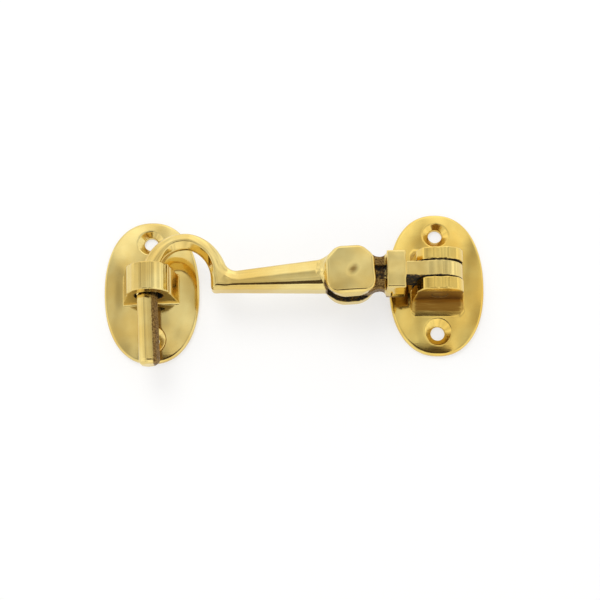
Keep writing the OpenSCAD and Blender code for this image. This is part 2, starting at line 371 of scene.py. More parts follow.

# %% [markdown]
# ## How the brass wears its marks
# Skin and compound don't end at a line: they break up into patches, so each mark is weighed by the
# patch pattern before it fades in. Film is thin and lies in the hairlines. The colours are then laid
# over each other as they were on the real casting: clean metal, film, sandy skin, and compound on top.
# Where the marks lie in corners, creases and recesses, film, skin and compound are also painted shade.
# Compound isn't a metal, so it also takes the mirror away.

# %% Lay the finish over the metal
# For a mark: how much of it shows, how patchy it is, and the range in which it fades in.
SHOWING = {"as_cast_and_shade": (0.9, 1.6, 0.2, 0.7), "compound_and_shade": (0.8, 2.4, 0.3, 0.75)}
CLOUD_FADE = (0.25, 0.75)
GRAIN_FADE = (0.35, 0.65)
FILM_AND_SHADE_SHARE, FILM_AND_SHADE_LINES, FILM_AND_SHADE_FADE = 0.6, 0.8, (0.1, 1)
HAZE = {"cloud": 0.06, "satin": 0.22, "as_cast_and_shade": 0.3, "compound_and_shade": 0.3}
HAIRLINE_RELIEF, GRAIN_RELIEF, RELIEF_MM = 0.03, 0.6, 0.1
NOISE_MIDDLE = 0.5
# The sockets of a Mix node that take and give colours, which share their names with others.
SHARE_IN, UNDER_IN, OVER_IN, TONE_OUT = 0, 6, 7, 2


def brass(title, polish, pale, warm):
    """Brass with its film, and with cast skin and black compound where the piece is marked for them; these
    also paint shade.
    """
    material = bpy.data.materials.new(title)
    material.use_nodes = True
    tree = material.node_tree
    shader = tree.nodes["Principled BSDF"]
    seen = read_surface(tree)
    for label, (most, patchy, low, high) in SHOWING.items():
        seen[label] = ease(seen[label] * (most + (seen["patch"] - NOISE_MIDDLE) * patchy), low, high)
    # In corners, creases and recesses the skin, compound and film marks are painted shade as well.
    skin_and_shade, compound_and_shade = seen["as_cast_and_shade"], seen["compound_and_shade"]
    film_and_shade = ease(seen["tarnish_and_shade"] * (FILM_AND_SHADE_SHARE + seen["hairline"] * FILM_AND_SHADE_LINES), *FILM_AND_SHADE_FADE)
    layers = {
        "clean": (ease(seen["cloud"], *CLOUD_FADE), pale, warm),
        "filmed_and_shaded": (film_and_shade, "clean", TARNISH_AND_SHADE),
        "sand": (ease(seen["grain"], *GRAIN_FADE), SKIN_DARK, SKIN),
        "skinned_and_shaded": (skin_and_shade, "filmed_and_shaded", "sand"),
        "dirty_and_shaded": (compound_and_shade, "skinned_and_shaded", COMPOUND_AND_SHADE),
    }
    tones = {}
    for label, (share, *pair) in layers.items():
        under, over = [tones.get(tone) or colour(tone) for tone in pair]
        mixed = {SHARE_IN: share, UNDER_IN: under, OVER_IN: over}
        tones[label] = add_node(tree, "ShaderNodeMix", mixed, data_type="RGBA").outputs[TONE_OUT]
    haze = polish
    for label, amount in HAZE.items():
        haze = haze + seen[label] * amount
    lines = seen["hairline"] * (1 - skin_and_shade) * HAIRLINE_RELIEF
    relief = lines + seen["grain"] * larger(skin_and_shade, compound_and_shade) * GRAIN_RELIEF
    bump = add_node(tree, "ShaderNodeBump", {"Height": relief, "Distance": RELIEF_MM / MM})
    tree.links.new(tones["dirty_and_shaded"], shader.inputs["Base Color"])
    tree.links.new((1 - compound_and_shade).socket, shader.inputs["Metallic"])
    tree.links.new(haze.socket, shader.inputs["Roughness"])
    tree.links.new(bump.outputs[0], shader.inputs["Normal"])
    print(f"{title}: {len(tree.nodes)} nodes")
    return material


# %% Make the three brasses
BUFFED_ROUGHNESS = 0.08
DRESSED_ROUGHNESS = 0.16
# Mop-buffed and left bare: a pale, nearly clear mirror with a slow drift of tone.
polished_brass = brass("buffed_cast_brass", BUFFED_ROUGHNESS, BRASS, BRASS_WARM)
# Buffed and lacquered: the same mirror in a deeper, warmer yellow.
lacquered_brass = brass("lacquered_cast_brass", BUFFED_ROUGHNESS, LACQUERED, LACQUERED_WARM)
# Drawn rod, dressed off with a fine file: a hazier end face that stands out from the casting.
drawn_brass = brass("drawn_brass_dressed_flush", DRESSED_ROUGHNESS, BRASS, BRASS_WARM)

# %% [markdown]
# ## The two plates
# Hinge plate and eye plate come from like patterns: a domed oval with two countersunk holes, and
# uprights with round heads. The hinge plate has two uprights beside the knuckle, and the eye plate has
# one in the middle, so one tree makes both: the uprights are mirrored, and an offset of nought makes
# them one. The dome falls off slowly in the middle and fast at the rim, which a power does.

# %% Start the plate and shape its dome
PLATE_LABELS = [
    "Plate width", "Plate length", "Edge height", "Dome rise", "Edge rounding", "Squareness",
    "Head radius", "Head squareness", "Crown height", "Upright thickness", "Upright offset", "Foot width",
    "Bore", "Axis height", "Foot sweep", "Inner fillet", "Screw spacing", "Screw hole", "Countersink",
    "Tarnish and shade", "Cell", "Turn", "Place X", "Place Y", "Place Z",
]
DOME_POWER = 2.5
plate_tree, size, (x, y, z) = start_tree("domed_plate_with_uprights", PLATE_LABELS)
outside, share = oval(x, y, size["Plate width"] / 2, size["Plate length"] / 2, size["Squareness"])
above = z - size["Edge height"] - size["Dome rise"] * (1 - share ** DOME_POWER)
plate = edge(outside, above, size["Edge rounding"])

# %% [markdown]
# ## The uprights of a plate
# An upright's head was filed round by hand, so it is a row of small flats that catch the light one
# after the other: two beats of different length keep them uneven. The flanks lean out towards the
# foot. Outside, the foot sweeps into the dome with a wide fillet, which lets the pattern leave the sand,
# and inside, where the knuckle needs the room, the fillet is small.

# %% Shape the uprights
FILED_FLATS = 13
SLOWER_FLATS, OUT_OF_STEP, TWO_CRESTS = FILED_FLATS * 0.6, 1, 2
FLAT_MM = 0.06
FLATS_FADE = 1
OUTER_FADE = 0.6
FLANK_SWEEP_LOSS, FLANK_FADE = 0.3, 1.2
FLANK_EDGE = 0.25
head_z = size["Axis height"] + size["Crown height"] - size["Head radius"]
foot_z = size["Edge height"] + size["Dome rise"] / 2
lean = (size["Foot width"] / 2 - size["Head radius"]) / (head_z - foot_z)
over = larger(z - head_z, 0)
under = larger(head_z - z, 0)
around = worked("ARCTAN2", x, z - head_z)
flats = worked("COSINE", around * FILED_FLATS) + worked("COSINE", around * SLOWER_FLATS + OUT_OF_STEP)
flats = (flats + TWO_CRESTS) * ease(z, head_z - FLATS_FADE, head_z + FLATS_FADE) * FLAT_MM
square = size["Head squareness"]
head = (abs(x) ** square + over ** square) ** (1 / square)
flank = head - size["Head radius"] - lean * under + flats
beside = abs(abs(y) - size["Upright offset"]) - size["Upright thickness"] / 2
outer = ease(abs(y) - size["Upright offset"], 0, OUTER_FADE)
outer = outer * (1 - FLANK_SWEEP_LOSS * ease(flank, -FLANK_FADE, 0))
sweep_r = part_way(size["Inner fillet"], size["Foot sweep"], outer)
upright = edge(fillet(plate, beside, sweep_r), flank, FLANK_EDGE)
print(f"about {FILED_FLATS} flats round a head")

# %% [markdown]
# ## The holes of a plate
# The eye or the pin's bore goes straight through the uprights. The screw holes were drilled square to
# the domed face, so they lean outwards a little, and the countersink chattered as it cut: a faint
# wave round the cone that breaks up its reflection.

# %% Bore and drill the plate
BACK_EDGE = 0.15
BORE_EDGE = 0.2
HOLE_LEAN, HOLE_MID = 0.22, 0.5
HOLE_EDGE = 0.12
SINK_SLOPE, SINK_MOUTH = 0.85, 1
CHATTER_MARKS, CHATTER_MM = 11, 0.014
casting = edge(smaller(plate, upright), -z, BACK_EDGE)
bore = across(x, z - size["Axis height"]) - size["Bore"] / 2
casting = edge(casting, -bore, BORE_EDGE)
to_screw = abs(y) - size["Screw spacing"] / 2 - (z - HOLE_MID) * HOLE_LEAN
screw_r = across(x, to_screw)
screw_share = size["Screw spacing"] / size["Plate length"]
face_z = size["Edge height"] + size["Dome rise"] * (1 - screw_share ** DOME_POWER)
chatter = worked("COSINE", worked("ARCTAN2", to_screw, x) * CHATTER_MARKS) * CHATTER_MM
cone = screw_r + chatter - size["Countersink"] / 2 - (z - face_z) / SINK_SLOPE
cone = cone * math.sin(math.atan(SINK_SLOPE))
cone = larger(cone, screw_r - size["Countersink"] / 2 - SINK_MOUTH)
hole = smaller(screw_r - size["Screw hole"] / 2, cone)
casting = edge(casting, -hole, HOLE_EDGE)
print(f"holes lean {math.degrees(math.atan(HOLE_LEAN)):.0f} degrees")

# %% [markdown]
# ## The polish of a plate
# Hands and a soft mop leave every face a little wavy, and a mirror shows that at once. A bump in the
# finish would only tilt the light, so a slow noise is added to the distance and the metal itself is
# uneven. The back was rubbed on a flat stone and has none of it.

# %% Polish the plate
def wavy(tree, wavelength, depth):
    """The gentle unevenness that work by hand leaves, as a distance."""
    place = add_node(tree, "GeometryNodeInputPosition").outputs[0]
    waves = add_node(tree, "ShaderNodeTexNoise", {"Vector": place, "Scale": 1 / wavelength, "Detail": 1.0})
    return (Field(waves.outputs[0]) - NOISE_MIDDLE) * depth


PLATE_INSET, PLATE_WAVE_MM, PLATE_WAVE_DEPTH, WAVE_FADE = 0.03, 6.0, 0.10, (0.3, 1.2)
casting = casting + PLATE_INSET + wavy(plate_tree, PLATE_WAVE_MM, PLATE_WAVE_DEPTH) * ease(z, *WAVE_FADE)
print(f"waves {PLATE_WAVE_MM} mm long and up to {PLATE_WAVE_DEPTH / 2} mm deep")

# %% [markdown]
# ## The marks of a plate
# Compound and skin stay in the slot and the bores, a brown film on the lugs' outer faces and at the
# feet of the uprights, and a satin tone where the mop only brushed past. The black in the slot and the
# bores and the brown on the outer faces and at the feet are also painted shade. Each place is a product
# of soft steps: which face, how high, how far out. The finish could find such places by ambient
# occlusion, but marks stay put when it is baked.

# %% Mark the plate and end its tree
# A pair is a soft step in millimetres: where it begins and where it is complete.
SLOT_FADE, SLOT_ENDS, TWO_UPRIGHTS = 0.2, (5.5, 7.5), (0.5, 1)
BORE_FADE, FACE_FADE, OFF_DOME, FOOT_FADE = (0.0, 0.3), (-0.3, 0), (0.1, 0.5), (0, 0.15)
HEAD_LOW, HEAD_HIGH, SIDE_IN, SIDE_OUT = 2, 6, 1, 1.5
BACK_FADE, SINK_FADE = (0.1, 0.3), (-0.2, 0)
BORE_COMPOUND_AND_SHADE, FOOT_FILM_AND_SHADE, BACK_FILM, SINK_SATIN = 0.9, 0.6, 0.25, 0.3
slot_side = size["Upright offset"] - size["Upright thickness"] / 2
in_slot = 1 - ease(abs(y), slot_side, slot_side + SLOT_FADE)
in_slot = in_slot * ease(size["Upright offset"], *TWO_UPRIGHTS) * (1 - ease(abs(x), *SLOT_ENDS))
in_bore = 1 - ease(bore, *BORE_FADE)
outer_face = ease(abs(y) - size["Upright offset"] - size["Upright thickness"] / 2, *FACE_FADE)
below_head = 1 - ease(z, head_z + HEAD_LOW, head_z + HEAD_HIGH)
# The film on the lugs' outer faces below the head is also painted shade.
unreached_and_shaded = outer_face * ease(above, *OFF_DOME) * below_head
unreached_and_shaded = unreached_and_shaded * (1 - ease(abs(x), size["Head radius"] - SIDE_IN, size["Head radius"] + SIDE_OUT))
# Film at the feet of the uprights is painted shade where they meet the dome.
at_foot = outer_face * ease(above, *FOOT_FADE) * below_head
on_back = 1 - ease(z, *BACK_FADE)
in_sink = 1 - ease(screw_r - size["Countersink"] / 2, *SINK_FADE)
# Compound and skin in the slot and the bores are partly painted shade.
marks = {
    "compound_and_shade": larger(in_slot, in_bore * BORE_COMPOUND_AND_SHADE),
    "as_cast_and_shade": larger(in_slot, in_bore),
    "tarnish_and_shade": larger(larger(unreached_and_shaded, at_foot * FOOT_FILM_AND_SHADE) * size["Tarnish and shade"], on_back * BACK_FILM),
    "satin": larger(larger(at_foot, on_back), in_sink * SINK_SATIN),
}
plate_low = [-(size["Plate width"] / 2), -(size["Plate length"] / 2), 0.0]
plate_high = [size["Plate width"] / 2, size["Plate length"] / 2, size["Axis height"] + size["Crown height"]]
end_tree(plate_tree, casting, plate_low, plate_high, size, marks)

# %% [markdown]
# ## Casting the plates
# The tree runs twice. The plates share their oval, their dome and their screw holes, so these sizes are
# written once, and each plate adds its own uprights and its place. The eye plate lies loose on the
# table, a little turned. The hinge plate is the one that kept its lacquer.

# %% Cast the two plates
_, eye_high = corners_mm("eye_plate")
plate_sizes = {
    "Plate width": hinge_high.x - hinge_low.x, "Plate length": hinge_high.y - hinge_low.y,
    "Edge height": 1.5, "Dome rise": 1.7, "Edge rounding": 0.6, "Squareness": 2.25,
    "Axis height": axis_h, "Inner fillet": 0.4,
    "Screw spacing": 27.2, "Screw hole": 3.6, "Countersink": 7.4, "Cell": 0.22,
}
lug_thickness = 3.4
hinge_sizes = plate_sizes | {
    "Head radius": hinge_high.z - axis_h, "Head squareness": 3.0, "Crown height": hinge_high.z - axis_h,
    "Upright thickness": lug_thickness, "Upright offset": (pin_high.y - pin_low.y - lug_thickness) / 2,
    "Foot width": 14.0, "Foot sweep": 4.1, "Tarnish and shade": 1.0, "Bore": pin_high.x - pin_low.x,
    "Turn": 0.0, "Place X": 0.0, "Place Y": 0.0, "Place Z": 0.0,
}
eye_sizes = plate_sizes | {
    "Head radius": 5.8, "Head squareness": 2.0, "Crown height": eye_high.z - axis_h,
    "Upright thickness": 7.6, "Upright offset": 0.0,
    "Foot width": 15.0, "Foot sweep": 0.5, "Tarnish and shade": 0.15, "Bore": 7.4,
    "Turn": math.radians(2.3), "Place X": eye_at.x, "Place Y": eye_at.y, "Place Z": 0.0,
}
hinge_casting = make_piece("hinge_plate_casting", plate_tree, hinge_sizes, lacquered_brass)
eye_casting = make_piece("eye_plate_casting", plate_tree, eye_sizes, polished_brass)

# %% [markdown]
# ## The swivel link
# One casting again: a round knuckle between the lugs, a square block, and a waisted neck that ends in
# a tongue inside the fork. The knuckle is a disc that a web joins to the block. The block's sides lean
# in towards the front, the draft that lets a pattern leave the sand, and buffing left its front a
# shade fuller in the middle.

# %% Start the link and shape knuckle and block
LINK_LABELS = [
    "Axis height", "Knuckle radius", "Knuckle thickness", "Pin bore", "Block near", "Block far",
    "Block width", "Block front", "Block back", "Neck width", "Neck thickness", "Waist radius",
    "Rivet from pin", "Tongue radius", "Rivet bore", "Pocket width", "Pocket length", "Pocket depth",
    "Cell", "Turn", "Place X", "Place Y", "Place Z",
]
WEB_INSET, WEB_OVERLAP, WEB_SOFTENING = 0.5, 1, 0.95
KNUCKLE_FILLET, KNUCKLE_EDGE = 0.4, 0.3
DRAFT = 0.09
BLOCK_PILLOW = 0.012
BLOCK_CORNER, BLOCK_EDGE = 0.45, 0.35
link_tree, size, (x, y, z) = start_tree("swivel_link", LINK_LABELS)
back = -x
up = z - size["Axis height"]
knuckle = across(x, up) - size["Knuckle radius"]
reach_share = back / size["Block near"]
knuckle_r = size["Knuckle radius"]
web_top = up - knuckle_r - (size["Block front"] - WEB_INSET - knuckle_r) * reach_share
web_low = -up - knuckle_r - (size["Block back"] - WEB_INSET - knuckle_r) * reach_share
web_ends = larger(-back, back - size["Block near"] - WEB_OVERLAP)
web = larger(larger(web_top, web_low) * WEB_SOFTENING, web_ends)
knuckle = fillet(knuckle, web, KNUCKLE_FILLET)
knuckle = edge(knuckle, abs(y) - size["Knuckle thickness"] / 2, KNUCKLE_EDGE)
block_mid = (size["Block near"] + size["Block far"]) / 2
block_x = abs(back - block_mid) - (size["Block far"] - size["Block near"]) / 2
block_y = abs(y) - size["Block width"] / 2 + larger(up, 0) * DRAFT
block_z = larger(up - size["Block front"] + y * y * BLOCK_PILLOW, -up - size["Block back"])
block = edge(edge(block_x, block_y, BLOCK_CORNER), block_z, BLOCK_EDGE)

# %% [markdown]
# ## The neck and the tongue
# The neck is drawn in plan, as a strip with two arcs cut from its sides and a round end, and then gets
# its thickness: that is how its pattern was cut from board. A pocket in its front lightens it. Where
# neck, block and knuckle meet, fillets close the corners, and the two bores come last.

# %% Shape the neck and join the link
WAIST_SHARE = 0.18
STRIP_SHARE = 0.97
STRIP_OVERLAP = 1
WAIST_EDGE, NECK_EDGE, POCKET_EDGE, LINK_BORE_EDGE = 0.6, 0.9, 0.3, 0.1
BLOCK_FILLET, NECK_FILLET = 0.5, 0.7
waist_x = size["Block far"] + (size["Rivet from pin"] - size["Block far"]) * WAIST_SHARE
to_rivet = across(back - size["Rivet from pin"], y)
strip_ends = larger(size["Block far"] - STRIP_OVERLAP - back, back - size["Rivet from pin"])
strip = larger(abs(y) - size["Tongue radius"] * STRIP_SHARE, strip_ends)
waist = size["Waist radius"] - across(back - waist_x, abs(y) - size["Neck width"] / 2 - size["Waist radius"])
plan = edge(smaller(to_rivet - size["Tongue radius"], strip), waist, WAIST_EDGE)
neck = edge(plan, abs(up) - size["Neck thickness"] / 2, NECK_EDGE)
link = fillet(fillet(block, knuckle, BLOCK_FILLET), neck, NECK_FILLET)
pocket_x = larger(back - size["Block far"] - size["Pocket length"], size["Block far"] - back)
pocket_floor = size["Neck thickness"] / 2 - size["Pocket depth"] - up
pocket = larger(larger(pocket_x, abs(y) - size["Pocket width"] / 2), pocket_floor)
link = edge(link, -pocket, POCKET_EDGE)
link = edge(link, size["Pin bore"] / 2 - across(x, up), LINK_BORE_EDGE)
link = edge(link, size["Rivet bore"] / 2 - to_rivet, LINK_BORE_EDGE)
print(f"the waist lies {WAIST_SHARE:.0%} of the way from the block to the rivet")

# %% [markdown]
# ## The polish and the marks of the link
# Only the block and the knuckle were ever polished. The neck keeps the sandy skin of the mould, which
# is rough enough to need real relief, not only a bump in the finish. The pocket and the gaps beside
# the knuckle are packed with black compound, and the back is dull. Under the web and in these gaps and
# the pocket, the black and the skin are also painted shade.

# %% Polish the link
LINK_INSET, LINK_WAVE_MM, LINK_WAVE_DEPTH = 0.02, 5.0, 0.13
SAND_MM, NECK_SAND_DEPTH, NECK_INSET = 0.9, 0.16, 0.04
NECK_FROM, NECK_TO = 0.1, 0.6
on_neck = ease(back, size["Block far"] + NECK_FROM, size["Block far"] + NECK_TO)
link = link + LINK_INSET + wavy(link_tree, LINK_WAVE_MM, LINK_WAVE_DEPTH)
link = link + on_neck * (wavy(link_tree, SAND_MM, NECK_SAND_DEPTH) + NECK_INSET)
print(f"sand on the neck is up to {NECK_SAND_DEPTH / 2} mm high")

# %% Mark the link and end its tree
POCKET_FADE, WEB_NEAR, WEB_LOW_SIDE = (-0.2, 0.5), (5.6, 6.6), (-1.9, -1.3)
WEB_FAR_IN, WEB_FAR_OUT = 0.1, 0.2
GAP_DEEP, GAP_SHALLOW, GAP_END = 0.3, 0.1, (6, 8)
BACK_SIDE, BACK_DULL = (0.5, 2), 0.8
# Compound and skin in the pocket, in the gaps by the knuckle and under the web are partly painted shade.
in_pocket = 1 - ease(pocket, *POCKET_FADE)
on_web = 1 - ease(back, size["Block near"] - WEB_FAR_IN, size["Block near"] + WEB_FAR_OUT)
low_web = ease(back, *WEB_NEAR) * on_web * (1 - ease(y, *WEB_LOW_SIDE))
knuckle_half = size["Knuckle thickness"] / 2
in_gap = ease(abs(y), knuckle_half - GAP_DEEP, knuckle_half - GAP_SHALLOW) * (1 - ease(back, *GAP_END))
at_back = ease(-up, *BACK_SIDE)
marks = {
    "compound_and_shade": larger(in_pocket, larger(low_web, in_gap)),
    "as_cast_and_shade": larger(on_neck, larger(low_web, in_gap)),
    "tarnish_and_shade": at_back * BACK_DULL,
    "satin": at_back * BACK_DULL,
}
knuckle_top = size["Axis height"] + size["Knuckle radius"]
tongue_end = -size["Rivet from pin"] - size["Tongue radius"]
link_low = [tongue_end, -(size["Block width"] / 2), size["Axis height"] - size["Knuckle radius"]]
link_high = [size["Knuckle radius"], size["Block width"] / 2, knuckle_top]
end_tree(link_tree, link, link_low, link_high, size, marks)

# %% [markdown]
# ## Casting the link
# The bores follow the pin and the rivet that the model has, with a running fit, and the knuckle is as
# high as the lugs beside it. The other sizes are the casting's own.

# %% Cast the link
RUNNING_FIT = 0.1
link_sizes = {
    "Axis height": axis_h, "Knuckle radius": hinge_high.z - axis_h, "Knuckle thickness": 4.3,
    "Pin bore": pin_high.x - pin_low.x + RUNNING_FIT, "Block near": 9.0, "Block far": 14.0,
    "Block width": 11.0, "Block front": 5.3, "Block back": 3.0, "Neck width": 9.0, "Neck thickness": 4.0,
    "Waist radius": 3.0, "Rivet from pin": -rivet_at.x, "Tongue radius": 5.65,
    "Rivet bore": rivet_high.x - rivet_low.x + RUNNING_FIT,
    "Pocket width": 3.6, "Pocket length": 3.3, "Pocket depth": 1.2, "Cell": 0.2,
    "Turn": 0.0, "Place X": 0.0, "Place Y": 0.0, "Place Z": 0.0,
}
link_casting = make_piece("swivel_link_casting", link_tree, link_sizes, polished_brass)

# %% [markdown]
# ## The hooked arm
# A fork with an eight-sided knob, a tapered shank, a step up into a gooseneck and the straight peg.
# The knob is a square with its corners cut. Its sides lean in towards the front for draft, more so on
# the lower side, where the corners are smaller too, and buffing left its face pillowed: lower at the
# rim than in the middle.

# %% Start the arm and shape its knob
ARM_LABELS = [
    "Knob width", "Knob thickness", "Knob corner", "Knob bevel", "Slot", "Slot reach", "Rivet",
    "Shank width", "Shank thickness", "Shank round", "Step width", "Step thickness", "Step round",
    "Throat round", "Throat chamfer", "Upper chamfer", "Arch chamfer",
    "Step from rivet", "Arch half span", "Arch rise", "Arch width", "Flare",
    "Peg from rivet", "Peg diameter", "Peg length", "Peg chamfer",
    "Cell", "Turn", "Place X", "Place Y", "Place Z",
]
DIAGONAL = math.sqrt(0.5)
LOWER_SIDE, FRONT_SIDE = (-1, 3), (2, 6)
CORNER_EDGE, LOWER_CORNER_LOSS, LOWER_BULGE = 1.2, 1.5, 0.3
TAPER_FROM, KNOB_TAPER, LOWER_TAPER = 2, 0.08, 0.06
PILLOW_MM = 0.35
CHEEK_EDGE, BEVEL_EDGE = 0.15, 0.2
arm_tree, size, (x, v, z) = start_tree("hooked_arm", ARM_LABELS)
# u runs along the arm from the rivet to the peg, v across it to the upper side.
u = -x
deep = abs(z)
knob_half = size["Knob width"] / 2
lower_side = ease(-v, *LOWER_SIDE)
flats = edge(abs(u) - knob_half, abs(v) - knob_half, CORNER_EDGE)
corner = size["Knob corner"] - LOWER_CORNER_LOSS * lower_side * ease(z, *FRONT_SIDE)
cut = (abs(u) + abs(v) - size["Knob width"] + corner) * DIAGONAL
taper = larger(z - TAPER_FROM, 0) * (KNOB_TAPER + LOWER_TAPER * lower_side)
outline = edge(flats, cut, CORNER_EDGE) - LOWER_BULGE * lower_side + taper
pillow = (u * u + v * v) / (knob_half * knob_half) * PILLOW_MM
cheek = deep - size["Knob thickness"] / 2 + pillow
knob = edge(outline, cheek, CHEEK_EDGE)
knob = edge(knob, (outline + cheek + size["Knob bevel"]) * DIAGONAL, BEVEL_EDGE)

# %% [markdown]
# ## The path of the bar
# Shank and gooseneck are one bar that follows a path. A curve with a swept profile would twist and
# pinch at the step, so the formula works with two distances from the path instead, one to its heel
# side and one to its toe side. The arch is half an oval that flares a little towards the peg.

# %% Lay out the path of the bar
PAST_TOP = (-3, 3)
FLARE_FADE = (0, 5)
PEG_SQUARENESS = 0.2
HEEL_EDGE, STEP_FILLET = 1.1, 2.4
arch_u = size["Step from rivet"] + size["Arch half span"]
past_top = u - arch_u
height = larger(v, 0)
low_share = 1 - smaller(height / size["Arch rise"], 1)
arch_x = past_top - size["Flare"] * low_share * low_share * ease(past_top, *FLARE_FADE)
peg_half = ease(past_top, *PAST_TOP)
squareness = 2 + PEG_SQUARENESS * peg_half
beyond, _ = oval(arch_x, height, size["Arch half span"], size["Arch rise"], squareness)
inward = -beyond
turned = worked("ARCTAN2", height / size["Arch rise"], arch_x / size["Arch half span"])
from_top = abs(1 - turned * (2 / math.pi))
foot_w = part_way(size["Step width"], size["Peg diameter"], peg_half)
arch_w = size["Arch width"] + (foot_w - size["Arch width"]) * from_top * from_top * from_top
along = smaller(larger((u - knob_half) / (size["Step from rivet"] - knob_half), 0), 1)
shank_w = part_way(size["Shank width"], size["Step width"], along)
heel = edge(inward - arch_w / 2, -v - shank_w / 2, HEEL_EDGE)
shank_over = larger(v - shank_w / 2, u - size["Step from rivet"])
toe = fillet(-inward - arch_w / 2, shank_over, STEP_FILLET)
print(f"{arm_tree.name}: {len(arm_tree.nodes)} nodes so far")

# %% [markdown]
# ## The section of the bar
# The front of the bar is slightly crowned, with its ridge towards the upper side. The upper edge has a
# wide filed chamfer, the lower one is round on the shank and sharper in the throat of the hook, where
# the file could only cut a plain chamfer. Towards the peg all of it turns into a round rod. Because
# the section is written from the two distances, each chamfer follows every bend by itself.

# %% Give the bar its section
CROWN_PER_MM, MOST_CROWN, RIDGE_MM = 0.04, 0.4, 1.3
STEP_BEFORE, STEP_AFTER = 2, 3
UP_THROAT, PEG_THICKENS, PEG_ROUNDS, ARCH_CHAMFERS = (0, 4), (0, 9), (2, 9), (-6, 0)
PEG_ROUND_SHARE = 0.3
BACK_ROUND, FRONT_HALF = 0.8, (-1, 1)
SHANK_SOFTNESS, STEP_SOFTNESS_GAIN = 0.5, 0.4
UPPER_SLOPE, UPPER_EDGE = 0.55, 0.8
TOE_EDGE, THROAT_EDGE = 0.25, 0.25
BAR_START = 2
over_step = ease(u, size["Step from rivet"] - STEP_BEFORE, size["Step from rivet"] + STEP_AFTER)
up_throat = ease(v, *UP_THROAT)
round_peg = ease(past_top, *PEG_ROUNDS)
peg_round = PEG_ROUND_SHARE * size["Peg diameter"]
aside = (toe - heel) / 2 + RIDGE_MM * (1 - over_step)
thick = part_way(size["Shank thickness"], size["Step thickness"], along)
thick = thick + (size["Peg diameter"] - size["Step thickness"]) * ease(past_top, *PEG_THICKENS)
round_low = part_way(size["Shank round"], size["Step round"], along)
round_low = round_low + (size["Throat round"] - size["Step round"]) * up_throat * over_step
round_low = part_way(round_low, peg_round, round_peg)
round_low = part_way(BACK_ROUND, round_low, ease(z, *FRONT_HALF))
upper = part_way(size["Upper chamfer"], size["Arch chamfer"], ease(past_top, *ARCH_CHAMFERS))
upper = part_way(upper, peg_round, round_peg)
face = deep - thick / 2 + smaller(aside * aside * CROWN_PER_MM, MOST_CROWN)
softer = SHANK_SOFTNESS + STEP_SOFTNESS_GAIN * along
bar = edge(heel * softer, face, round_low)
bar = edge(bar, toe, TOE_EDGE)
bar = edge(bar, ((toe + upper) * UPPER_SLOPE + face) / math.hypot(1, UPPER_SLOPE), UPPER_EDGE)
throat_cut = size["Throat chamfer"] * up_throat * over_step * (1 - round_peg)
bar = edge(bar, (heel + throat_cut + face) * DIAGONAL, THROAT_EDGE)
bar = larger(bar, BAR_START - u)
print(f"{arm_tree.name}: {len(arm_tree.nodes)} nodes so far")

# %% [markdown]
# ## The peg
# The peg is a rod that was filed along its length, so it has a few broad flats, and its tip is
# chamfered to find the eye. A filed rod could be a prism with many sides, but as a wave on the radius
# the flats run into each other softly, as under a file.

# %% Shape the peg
PEG_FLATS = 7
TIP_EDGE, TIP_CHAMFER_EDGE, PEG_TOP = 0.2, 0.3, 1
peg_turn = worked("ARCTAN2", z, u - size["Peg from rivet"])
peg_flats = (worked("COSINE", peg_turn * PEG_FLATS) + 1) * FLAT_MM
peg_r = across(u - size["Peg from rivet"], z) - size["Peg diameter"] / 2 + peg_flats
tip = -v - size["Peg length"]
peg = edge(peg_r, tip, TIP_EDGE)
peg = edge(peg, (peg_r + tip + size["Peg chamfer"]) * DIAGONAL, TIP_CHAMFER_EDGE)
peg = larger(peg, v - PEG_TOP)
print(f"{PEG_FLATS} flats along the peg")

# %% [markdown]
# ## The fork and the dimple
# Knob, bar and peg run into each other with a fillet that grows towards the upper side. A saw cut makes
# the fork, and the rivet's hole stops just below the front. There the rivet was linished away with the
# face, and all that is left of it is a shallow dimple, drawn out aslant.

# %% Join the arm and cut the fork
ROOT_FILLET, ROOT_GAIN, ROOT_FADE = 0.8, 2.0, (-3, 0.5)
SLOT_EDGE, RIVET_HOLE_EDGE = 0.25, 0.1
FRONT_SKIN_MM = 0.6
DIMPLE_U, DIMPLE_V, ASLANT = 0.7, 0.3, 0.7
DIMPLE_SHORT, DIMPLE_LONG, DIMPLE_FADE, DIMPLE_FRONT = 1.2, 0.75, (0.1, 1.9), (2, 3)
arm = fillet(knob, smaller(bar, peg), ROOT_FILLET + ROOT_GAIN * ease(v, *ROOT_FADE))
slot = larger(deep - size["Slot"] / 2, u - size["Slot reach"])
arm = edge(arm, -slot, SLOT_EDGE)
rivet_hole = larger(across(u, v) - size["Rivet"] / 2, z - size["Knob thickness"] / 2 + FRONT_SKIN_MM)
arm = edge(arm, -rivet_hole, RIVET_HOLE_EDGE)
aslant = (u + DIMPLE_U) * ASLANT + (v + DIMPLE_V) * ASLANT
athwart = (u + DIMPLE_U) * ASLANT - (v + DIMPLE_V) * ASLANT
from_dimple = across(aslant * DIMPLE_SHORT, athwart * DIMPLE_LONG)
dimple = (1 - ease(from_dimple, *DIMPLE_FADE)) * ease(z, *DIMPLE_FRONT)
print(f"{arm_tree.name}: {len(arm_tree.nodes)} nodes so far")

# %% [markdown]
# ## The polish and the marks of the arm
# The arm is wavy like the plates. Compound fills the fork and the crease behind the knob, the side of
# the peg that faces the hinge kept its sandy skin, and a thin film lies in the throat and the dimple.
# The compound and skin in the crease and the peg side's darker skin are also painted shade.

# %% Polish the arm
ARM_INSET, ARM_WAVE_MM, ARM_WAVE_DEPTH, DIMPLE_MM = 0.02, 6.0, 0.10, 0.1
arm = arm + ARM_INSET + dimple * DIMPLE_MM + wavy(arm_tree, ARM_WAVE_MM, ARM_WAVE_DEPTH)
print(f"the dimple is {DIMPLE_MM} mm deep")

